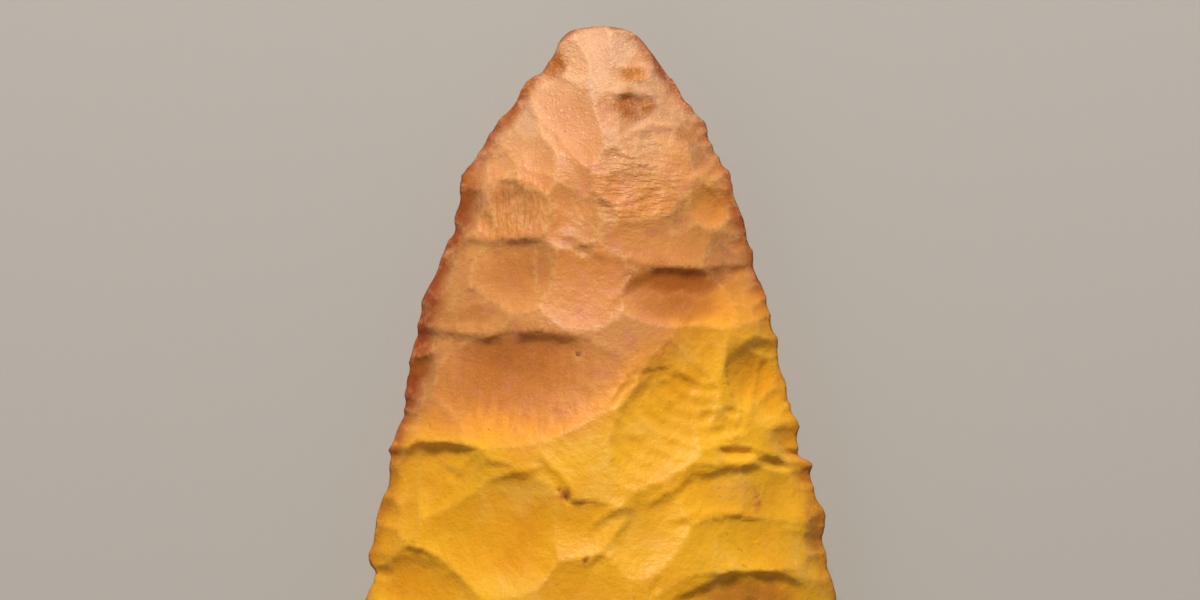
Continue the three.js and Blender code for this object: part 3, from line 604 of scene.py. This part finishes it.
def lattice(spacing):
    """Points of a triangle lattice over the outline, and its triangles."""
    row_step = spacing * math.sqrt(3) / 2
    rows = math.ceil((LENGTH + 2 * BORDER) / row_step)
    across = math.ceil(2 * (HALF_WIDTH + SIDE_BORDER) / spacing)
    r, c = np.mgrid[0 : rows + 1, 0 : across + 1]
    x = ((c - across / 2 + (r % 2) / 2) * spacing).ravel()
    t = (r * row_step - BORDER).ravel()
    site = r * (across + 1) + c
    a, b, d, e = (q.ravel() for q in (site[:-1, :-1], site[:-1, 1:], site[1:, :-1], site[1:, 1:]))
    odd = (r[:-1, :-1] % 2).ravel() == 1
    first = np.where(odd[:, None], np.stack([a, b, e], 1), np.stack([a, b, d], 1))
    second = np.where(odd[:, None], np.stack([a, e, d], 1), np.stack([b, e, d], 1))
    return x, t, np.concatenate([first, second])


def trimmed(front, back, spacing):
    """The lattice cut along the margin: x, t, triangles and which points lie on the margin."""
    x, t, triangles = lattice(spacing)

    def thickness(px, pt):
        return front.height(px, pt) + back.height(px, pt)

    rough = dome(x, t, FRONT_RISE)
    level = np.where(rough > 0, 1.0, -1.0)
    near = (rough > NEAR_MARGIN[0]) & (rough < NEAR_MARGIN[1])
    level[near] = thickness(x[near], t[near])
    close = np.flatnonzero(np.abs(level) < MARGIN_REACH * spacing)
    nx, nt = newton(thickness, x[close], t[close], MARGIN_ROUNDS)
    moved = np.hypot(nx - x[close], nt - t[close])
    good = (moved < MARGIN_SNAP * spacing) & (np.abs(thickness(nx, nt)) < SLACK)
    x[close[good]], t[close[good]], level[close[good]] = nx[good], nt[good], 0

    signs = np.sign(level).astype(int)[triangles]
    whole = triangles[(signs.min(1) >= 0) & (signs.max(1) > 0)]
    split = triangles[(signs.min(1) < 0) & (signs.max(1) > 0)]
    sides = sorted({(min(i, j), max(i, j)) for tri in split.tolist()
                    for i, j in zip(tri, tri[1:] + tri[:1]) if level[i] * level[j] < 0})
    ends = np.array(sides)
    ends = np.where(level[ends[:, :1]] > 0, ends, ends[:, ::-1])

    def on_sides(v, share):
        return v[ends[:, 0]] * (1 - share) + v[ends[:, 1]] * share

    low, high = np.zeros(len(ends)), np.ones(len(ends))
    for _ in range(HALVINGS):
        mid = (low + high) / 2
        inside = thickness(on_sides(x, mid), on_sides(t, mid)) > 0
        low, high = np.where(inside, mid, low), np.where(inside, high, mid)
    cut_at = {side: len(x) + n for n, side in enumerate(sides)}
    x, t = (np.concatenate([v, on_sides(v, low)]) for v in (x, t))
    level = np.concatenate([level, np.zeros(len(ends))])
    pieces = []
    for tri in split.tolist():
        ring = []
        for i, j in zip(tri, tri[1:] + tri[:1]):
            if level[i] >= 0:
                ring.append(i)
            if level[i] * level[j] < 0:
                ring.append(cut_at[min(i, j), max(i, j)])
        pieces += [(ring[0], ring[n], ring[n + 1]) for n in range(1, len(ring) - 1)]
    triangles = np.concatenate([whole, np.array(pieces)])
    used, triangles = np.unique(triangles, return_inverse=True)
    return x[used], t[used], triangles.reshape(-1, 3), level[used] == 0


def twice_area(x, t, tri):
    a, b, c = tri.T
    return (x[b] - x[a]) * (t[c] - t[a]) - (x[c] - x[a]) * (t[b] - t[a])


def on_ridges(face, x, t, triangles, fixed, reach):
    """The plan with every point near a ridge moved onto it, and how far each point was from one."""
    order = face.lowest(x, t)
    best = np.full(len(x), FAR)
    bx, bt = x.copy(), t.copy()
    for other in order[1:]:
        def gap(px, pt):
            return face.at(other, px, pt) - face.at(order[0], px, pt)

        nx, nt = newton(gap, x, t, RIDGE_ROUNDS)
        moved = np.hypot(nx - x, nt - t)
        closer = moved < best
        best[closer], bx[closer], bt[closer] = moved[closer], nx[closer], nt[closer]
    go = (best < reach) & ~fixed
    px, pt = np.where(go, bx, x), np.where(go, bt, t)
    limit = SLIVER * twice_area(x, t, triangles)
    for _ in range(LETTING_OUT):
        flat = twice_area(px, pt, triangles) < limit
        if not flat.any():
            break
        back = np.unique(triangles[flat])
        px[back], pt[back] = (px[back] + x[back]) / 2, (pt[back] + t[back]) / 2
    return px, pt, best


# ---- Zones of colour ----
# Where the orange of the tip half gives way to yellow: x, distance from the tip.
GOLD_LINE = ((-45, 71), (-31, 69), (-8, 67), (1, 65), (8, 58), (14, 50), (22, 47), (45, 45))
GOLD_BLEND = 9  # millimetres on either side of that line over which they mix
PALE_STRETCH = (4, 34)  # the pale tip, partly painted sheen, ends between these distances
# Hollows get darker, more saturated colours: partly the stone's own, partly painted shade.
DEPTHS = (0.6, 3.4)  # a hollow takes its colour between these depths below the uncut dome
WORN_WIDTH = 0.45  # of the rubbed ridges
RIM_WIDTHS, RIM_WANDER = (0.2, 4.4), 0.55  # of the stained margin, and how far it follows the waves
TONE_TURN, TONE_START = 0.618, 0.2  # share of a turn between the tones of one scar and the next

# Oval places of the front with their own finish or painted light: x, distance from the tip, half width, half
# length.
FINISHES = {
    "hackled": (6.5, 26.5, 8, 7.5),
    "knob": (5.6, 8.6, 2.2, 1.5),
    # an amber patch: the stone's colour, with painted light over the shade of its hollow
    "amber_painted_light": (18.6, 30, 4, 6),
    "combed": (-12, 60, 13, 8.5),
    "streaked": (-14, 31.5, 6.5, 5),
}


def patch(x, t, mid_x, mid_t, half_x, half_t):
    """1 at the middle of an oval patch, falling to nought past its edge."""
    return np.exp(-(((x - mid_x) / half_x) ** 2 + ((t - mid_t) / half_t) ** 2) ** 2)


# Real stains, and painted shade in the hollows under the ledges, as patches with wavering edges.
def stains_and_shade(x, t):
    height, size, patterns = STAIN_AND_SHADE_WAVES
    wx, wt = (v + height * uneven(x, t, k, size) for v, k in zip((x, t), patterns))
    spots = [strength * patch(wx, wt, *spot) for *spot, strength in STAINS_AND_SHADE]
    return np.max(spots, 0)


def zones(face, x, t, z, to_ridge, inward):
    """Values from 0 to 1 at each point that the stone's finish reads, painted shade and light among them."""
    line = np.interp(x, *np.array(GOLD_LINE, float).T)
    wander = waves(x, t, 0, ZONE_WAVES)
    on_front = face.rise == FRONT_RISE
    values = {
        "gold": smooth(t - line + wander, -GOLD_BLEND, GOLD_BLEND),
        "pale": 1 - smooth(t + wander, *PALE_STRETCH),
        "deep": smooth(dome(x, t, face.rise) - z, *DEPTHS),
        "worn": np.exp(-((to_ridge / WORN_WIDTH) ** 2)),
        "rim": 1 - smooth(inward + RIM_WANDER * wander, *RIM_WIDTHS),
        "tone": (face.lowest(x, t)[0] * TONE_TURN + TONE_START) % 1,
        "stain_and_shade": stains_and_shade(x, t) * on_front,
    }
    values.update({name: patch(x, t, *place) * on_front for name, place in FINISHES.items()})
    return values


def stone_mesh(spacing):
    """The whole stone as one closed mesh in metres, with the zone values at its points."""
    front, back = front_face(), back_face()
    x, t, triangles, margin = trimmed(front, back, spacing)
    places, values = [], []
    for face, sign in ((front, 1), (back, -1)):
        px, pt, to_ridge = on_ridges(face, x, t, triangles, margin, RIDGE_SNAP * spacing)
        z = face.height(px, pt)
        places.append(np.stack([px, LENGTH / 2 - pt, sign * z + REST_RISE + sway(px, pt)], 1) * MM)
        values.append(zones(face, px, pt, z, to_ridge, half_width(pt) - np.abs(px)))
    inner = np.flatnonzero(~margin)
    under = np.arange(len(x))
    under[inner] = len(x) + np.arange(len(inner))
    vertices = np.concatenate([places[0], places[1][inner]])
    faces = np.concatenate([triangles[:, [0, 2, 1]], under[triangles]])
    mesh = bpy.data.meshes.new(NODE)
    mesh.from_pydata(vertices.tolist(), [], faces.tolist())
    for name in values[0]:
        both = np.concatenate([values[0][name], values[1][name][inner]])
        mesh.attributes.new(name, "FLOAT", "POINT").data.foreach_set("value", both.astype(np.float32))
    mesh.shade_smooth()
    mesh.validate()
    return mesh


# ---- Shader values as Python expressions ----
class Wire:
    """A socket that adds Math nodes when it is used in arithmetic."""

    def __init__(self, graph, socket):
        self.graph, self.socket = graph, socket

    def math(self, operation, *values):
        return self.graph.node("Math", {"operation": operation}, dict(enumerate(values)))

    def __add__(self, other):
        return self.math("ADD", self, other)

    def __sub__(self, other):
        return self.math("SUBTRACT", self, other)

    def __rsub__(self, other):
        return self.math("SUBTRACT", other, self)

    def __mul__(self, other):
        return self.math("MULTIPLY", self, other)

    __radd__ = __add__

    def clamped(self):
        return self.graph.node("Clamp", {}, {0: self})

    def between(self, low, high):
        """0 below low, 1 above high, smooth between them."""
        return self.graph.node("MapRange", {"interpolation_type": "SMOOTHSTEP"},
                               {"Value": self, "From Min": low, "From Max": high})


class Graph:
    """The nodes of one material."""

    def __init__(self, name):
        self.material = bpy.data.materials.new(name)
        self.material.use_nodes = True
        self.tree = self.material.node_tree
        self.shader = self.tree.nodes["Principled BSDF"]

    def node(self, kind, settings, inputs, output=0):
        made = self.tree.nodes.new("ShaderNode" + kind)
        for name, value in settings.items():
            setattr(made, name, value)
        for name, value in inputs.items():
            self.feed(made.inputs[name], value)
        return Wire(self, made.outputs[output])

    def feed(self, socket, value):
        if isinstance(value, Wire):
            self.tree.links.new(value.socket, socket)
        else:
            socket.default_value = value

    def give(self, name, value):
        """Sets or links an input of the surface."""
        self.feed(self.shader.inputs[name], value)

    def value(self, name):
        """A value kept at the mesh's points."""
        return self.node("Attribute", {"attribute_name": name}, {}, "Fac")

    def place(self, scale=(1, 1, 1)):
        """The place on the stone in millimetres, stretched by scale."""
        spot = self.node("TexCoord", {}, {}, "Object")
        return self.node("VectorMath", {"operation": "MULTIPLY"},
                         {0: spot, 1: tuple(s / MM for s in scale)})

    def noise(self, size, detail=3, rough=0.55, scale=(1, 1, 1), swirl=0):
        """Noise from 0 to 1 with patches of about `size` millimetres."""
        return self.node("TexNoise", {}, {
            "Vector": self.place(scale), "Scale": 1 / size, "Detail": detail, "Roughness": rough,
            "Distortion": swirl})

    def mix(self, a, b, amount):
        kind = {"data_type": "RGBA", "clamp_factor": True}
        return self.node("Mix", kind, {0: amount, 6: colour(a), 7: colour(b)}, 2)

    def times(self, a, amount):
        """A colour made lighter or darker by a value."""
        return self.node("VectorMath", {"operation": "SCALE"}, {0: a, 3: amount})

    def bump(self, height, distance, under=None):
        inputs = {"Height": height, "Distance": distance * MM, "Strength": 1}
        if under is not None:
            inputs["Normal"] = under
        return self.node("Bump", {}, inputs)


def colour(value):
    return value if isinstance(value, Wire) else (*value, 1)


SHEEN = 0.22  # strength of the mirroring
# Light that goes into the stone and comes out again: share, reach of red, green and blue, and its depth.
GLOW, GLOW_COLOUR, GLOW_DEPTH = 0.22, (1, 0.42, 0.12), 1.6


def flint(look):
    """Waxy patinated stone: tan and orange towards the tip, golden towards the butt."""
    g = Graph("flint")
    names = "gold", "pale", "deep", "worn", "rim", "tone", "stain_and_shade"
    gold, pale, deep, worn, rim, tone, stained_and_shaded = map(g.value, names)
    clouds = g.noise(16, 3)
    mottle = g.noise(4.5, 4, 0.6)
    grain = g.noise(0.9, 3, 0.6)
    sugar = g.noise(0.42, 2, 0.5)
    rusty = rim * mottle.between(0.3, 0.5)

    # the tip half, the butt half and how they meet
    # Hollows turn orange: partly the stone's colour, partly painted shade.
    tan = g.mix(look.tan, look.orange, (deep * 0.75 + clouds.between(0.4, 0.7) * 0.3 + tone * 0.4).clamped())
    tan = g.mix(tan, look.rose, g.noise(3.1, 3, 0.6, swirl=0.5).between(0.5, 0.66) * 0.6)
    # The pale tip: partly the stone's colour, partly painted sheen.
    tan = g.mix(tan, look.pale, pale * (0.05 + mottle * 0.75 + (1 - tone) * 0.4))
    # Hollows of the butt half turn honey: partly the stone's colour, partly painted shade.
    rich = deep * 0.45 + clouds.between(0.42, 0.68) * 0.35 + tone * 0.15
    yellow = g.mix(look.gold, look.honey, rich.clamped())
    yellow = g.mix(yellow, look.straw, g.noise(9, 3, 0.6).between(0.5, 0.72) * (1 - deep) * 0.5)
    base = g.mix(g.mix(tan, look.amber, gold.between(0, 0.5)), yellow, gold.between(0.35, 1))
    # what lies on top, lowest first
    combed = g.value("combed") * g.noise(1.3, 3, 0.5, scale=(1, 0.1, 1)).between(0.44, 0.62)
    base = g.mix(base, look.orange, combed * 0.5)
    base = g.mix(base, look.orange, g.value("knob"))
    # Painted light: a lighter amber patch over the shade of a hollow.
    base = g.mix(base, look.amber, g.value("amber_painted_light") * mottle * 0.7)
    base = g.mix(base, look.rust, rusty * (1 - gold * 0.45))
    # Brown stains, and painted shade in the hollows under the ledges.
    base = g.mix(base, look.stain_and_shade, stained_and_shaded * (0.75 + mottle * 0.5))
    base = g.mix(base, look.light, worn * (0.2 - gold * 0.12) * grain.between(0.35, 0.6))
    facet = (tone - 0.5) * (0.2 - gold * 0.14)
    base = g.times(base, 0.86 + mottle * 0.16 + grain * 0.12 + facet)
    speck = g.noise(1.3, 2, 0.5, swirl=0.4).between(0.71, 0.76)
    base = g.mix(base, look.rust, speck * 0.35)
    # Painted glints: light specks painted into the colour where the grainy stone would sparkle, most at the
    # tip.
    sparkling = (pale + (1 - gold) * 0.25).clamped()
    painted_glint = sugar.between(0.6, 0.72) * sparkling * (1 - stained_and_shaded * 0.8) * (1 - rusty * 0.7)
    base = g.mix(base, look.light, painted_glint * 0.75)
    g.give("Base Color", base)

    roughness = 0.44 - worn * 0.06 + (grain - 0.5) * 0.25 - painted_glint * 0.2 + (mottle - 0.5) * 0.15
    g.give("Roughness", roughness.clamped())
    g.give("Specular IOR Level", SHEEN)
    g.give("Subsurface Weight", GLOW)
    g.give("Subsurface Radius", GLOW_COLOUR)
    g.give("Subsurface Scale", GLOW_DEPTH * MM)

    soft = g.bump(g.noise(2.2, 3, 0.55), look.soft_relief)
    across = g.noise(0.95, 2, 0.5, scale=(0.4, 1, 1)) * g.value("hackled")
    down = g.noise(0.8, 2, 0.5, scale=(1, 0.22, 1)) * g.value("streaked")
    waved = g.bump(across + down, look.wave_relief, soft)
    g.give("Normal", g.bump(grain + sugar * (0.3 + pale * 1.2), look.fine_relief, waved))
    return g.material


def paper(look):
    """The stage: matt and pale, with a faint unevenness."""
    g = Graph("stage_paper")
    tint = g.noise(FLOOR_CLOUDS, 2)
    darker = tuple(part * FLOOR_DARKEST for part in look.floor)
    g.give("Base Color", g.mix(look.floor, darker, tint))
    g.give("Roughness", FLOOR_ROUGHNESS)
    return g.material


# ---- Stage, in metres ----
FLOOR_RADIUS, FLOOR_BEND, FLOOR_RISE = 1.6, 0.7, 1.2  # flat part, bend at its edge, wall above that
FLOOR_RINGS = 6  # of the flat part
FLOOR_CLOUDS, FLOOR_DARKEST, FLOOR_ROUGHNESS = 260, 0.97, 0.85  # size in millimetres, share, share
AIM_FROM_TIP = 45.8  # millimetres; the middle of the view
EYE_FROM_TIP = 79  # millimetres; the camera stands over this place
SENSOR_WIDTH = 36  # millimetres
NEAREST = 0.01  # what is closer to the camera isn't drawn
# Lights: how far they stand from the aim, size, colour and share of the key's power.
LIGHTS = {
    "key": ((-0.06, 1.12, 0.92), 0.4, (1, 0.96, 0.9), 1),
    "fill": ((-0.5, -0.7, 0.8), 0.9, (1, 0.92, 0.8), 0.03),
}
SKY_TINT = (1, 0.93, 0.83)


# ---- What a user would change ----
def shade(name, description, default):
    return FloatVectorProperty(name=name, description=description, default=default,
                               subtype="COLOR", size=3, min=0, max=1)


def in_mm(name, description, default, low, high):
    text = f"{description}, in millimetres"
    return FloatProperty(name=name, description=text, default=default, min=low, max=high)


class StoneSettings(bpy.types.PropertyGroup):
    spacing: in_mm("Spacing", "Distance between surface points", 0.48, 0.4, 3)
    soft_relief: in_mm("Soft relief", "Depth of the soft unevenness", 0.2, 0, 2)
    wave_relief: in_mm("Wave relief", "Depth of the fine waves", 0.6, 0, 2)
    fine_relief: in_mm("Fine relief", "Depth of the grain", 0.12, 0, 1)
    tan: shade("Tan", "Body of the tip half", (0.71, 0.31, 0.09))
    amber: shade("Amber", "Between the tip half and the butt half", (0.84, 0.33, 0.04))
    # Orange also paints the shade of the tip half's hollows.
    orange: shade("Orange", "Hollows of the tip half", (0.56, 0.18, 0.03))
    rose: shade("Rose", "Pinkish patches of the tip half", (0.64, 0.22, 0.1))
    # Pale also paints the sheen of the tip.
    pale: shade("Pale", "Sugary stone at the tip", (0.8, 0.47, 0.3))
    gold: shade("Gold", "Body of the butt half", (0.9, 0.46, 0.018))
    straw: shade("Straw", "Paler clouds of the butt half", (0.9, 0.52, 0.1))
    # Honey also paints the shade of the butt half's hollows.
    honey: shade("Honey", "Hollows of the butt half", (0.76, 0.26, 0.006))
    rust: shade("Rust", "Stained margins and specks", (0.34, 0.065, 0.013))
    # This colour also paints the shade in the hollows under the ledges.
    stain_and_shade: shade("Stain", "Brown stains of the hollows", (0.4, 0.11, 0.014))
    # Light is also the colour of the painted glints.
    light: shade("Light", "Rubbed ridges", (0.9, 0.62, 0.26))


class StageSettings(bpy.types.PropertyGroup):
    floor: shade("Floor", "Colour of the floor", (0.5, 0.485, 0.46))
    view_width: FloatProperty(name="View width", description="Width that the camera takes in at the margin",
                              default=0.2, min=0.05, unit="LENGTH")
    view_distance: FloatProperty(name="View distance", description="Camera's height above the margin",
                                 default=0.7, min=0.2, unit="LENGTH")
    key_power: FloatProperty(name="Key light", description="Power of the light beyond the tip, in watts",
                             default=23.8, min=0)
    sky: FloatProperty(name="Sky", description="Strength of the light from all round", default=0.2, min=0)


# ---- Operators ----
class MakeHandAxe(bpy.types.Operator):
    """Make the flaked stone in place of its plain solid"""

    bl_idname = "hand_axe.make_stone"
    bl_label = "Make the stone"

    def execute(self, context):
        look = context.scene.hand_axe_stone
        stone = bpy.data.objects.new("flaked_stone", stone_mesh(look.spacing))
        context.scene.collection.objects.link(stone)
        stone.data.materials.append(flint(look))
        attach(stone, "root")
        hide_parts(NODE)
        return {"FINISHED"}


class MakeStage(bpy.types.Operator):
    """Make the floor, the lights and the camera"""

    bl_idname = "hand_axe.make_stage"
    bl_label = "Make the stage"

    def execute(self, context):
        look = context.scene.hand_axe_stage
        floor = bpy.data.objects.new("floor", sweep_mesh(FLOOR_RADIUS, FLOOR_BEND, FLOOR_RISE))
        context.scene.collection.objects.link(floor)
        floor.data.materials.append(paper(look))
        floor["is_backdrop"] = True
        low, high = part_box(NODE)
        margin = low.z + REST_RISE * MM
        aim = Vector((0, high.y - AIM_FROM_TIP * MM, margin))
        for name, (offset, size, tint, share) in LIGHTS.items():
            add_light(context, name, aim, offset, size, look.key_power * share, tint)
        add_camera(context, look, aim, high.y - EYE_FROM_TIP * MM)
        world = bpy.data.worlds.new("sky")
        world.use_nodes = True
        sky = world.node_tree.nodes["Background"]
        sky.inputs["Color"].default_value = (*SKY_TINT, 1)
        sky.inputs["Strength"].default_value = look.sky
        context.scene.world = world
        context.scene.view_settings.view_transform = "Standard"
        return {"FINISHED"}


# ---- Floor, lights and camera ----
def sweep_mesh(radius, bend, rise, around=96, steps=12):
    """A round floor whose edge bends up into a low wall, in metres."""
    profile = [(radius * k / FLOOR_RINGS, 0) for k in range(1, FLOOR_RINGS + 1)]
    profile += [(radius + bend * math.sin(a), bend * (1 - math.cos(a)))
                for a in (math.pi / 2 * k / steps for k in range(1, steps + 1))]
    profile.append((radius + bend, bend + rise))
    vertices = [(0, 0, 0)]
    for r, z in profile:
        vertices += [(r * math.cos(a), r * math.sin(a), z)
                     for a in (2 * math.pi * k / around for k in range(around))]
    faces = [(0, 1 + k, 1 + (k + 1) % around) for k in range(around)]
    for ring in range(len(profile) - 1):
        start = 1 + ring * around
        for k in range(around):
            n = (k + 1) % around
            faces.append((start + k, start + around + k, start + around + n, start + n))
    mesh = bpy.data.meshes.new("floor")
    mesh.from_pydata(vertices, [], faces)
    mesh.shade_smooth()
    return mesh


def face_towards(thing, target):
    thing.rotation_euler = (target - thing.location).to_track_quat("-Z", "Y").to_euler()


def add_light(context, name, aim, offset, size, power, tint):
    lamp = bpy.data.lights.new(name, "AREA")
    lamp.size, lamp.energy, lamp.color = size, power, tint
    light = bpy.data.objects.new(name, lamp)
    light.location = aim + Vector(offset)
    face_towards(light, aim)
    context.scene.collection.objects.link(light)


def add_camera(context, look, aim, eye_y):
    lens = bpy.data.cameras.new("camera")
    camera = bpy.data.objects.new("camera", lens)
    camera.location = (aim.x, eye_y, aim.z + look.view_distance)
    face_towards(camera, aim)
    lens.sensor_width = SENSOR_WIDTH
    lens.lens = SENSOR_WIDTH * (camera.location - aim).length / look.view_width
    lens.clip_start = NEAREST
    context.scene.collection.objects.link(camera)
    context.scene.camera = camera


class HandAxePanel(bpy.types.Panel):
    bl_idname = "VIEW3D_PT_hand_axe"
    bl_label = "Hand axe"
    bl_space_type = "VIEW_3D"
    bl_region_type = "UI"
    bl_category = "Hand axe"

    def draw(self, context):
        for settings, operator in ((context.scene.hand_axe_stone, MakeHandAxe),
                                   (context.scene.hand_axe_stage, MakeStage)):
            for name in type(settings).__annotations__:
                self.layout.prop(settings, name)
            self.layout.operator(operator.bl_idname)


CLASSES = (StoneSettings, StageSettings, MakeHandAxe, MakeStage, HandAxePanel)


def register():
    for cls in CLASSES:
        bpy.utils.register_class(cls)
    bpy.types.Scene.hand_axe_stone = PointerProperty(type=StoneSettings)
    bpy.types.Scene.hand_axe_stage = PointerProperty(type=StageSettings)


def unregister():
    del bpy.types.Scene.hand_axe_stone
    del bpy.types.Scene.hand_axe_stage
    for cls in reversed(CLASSES):
        bpy.utils.unregister_class(cls)


def main():
    register()
    bpy.ops.hand_axe.make_stone()
    bpy.ops.hand_axe.make_stage()
    boxes = [[list(corner) for corner in box] for box in (CAD_BOX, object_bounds())]


if __name__ == "__main__":
    main()
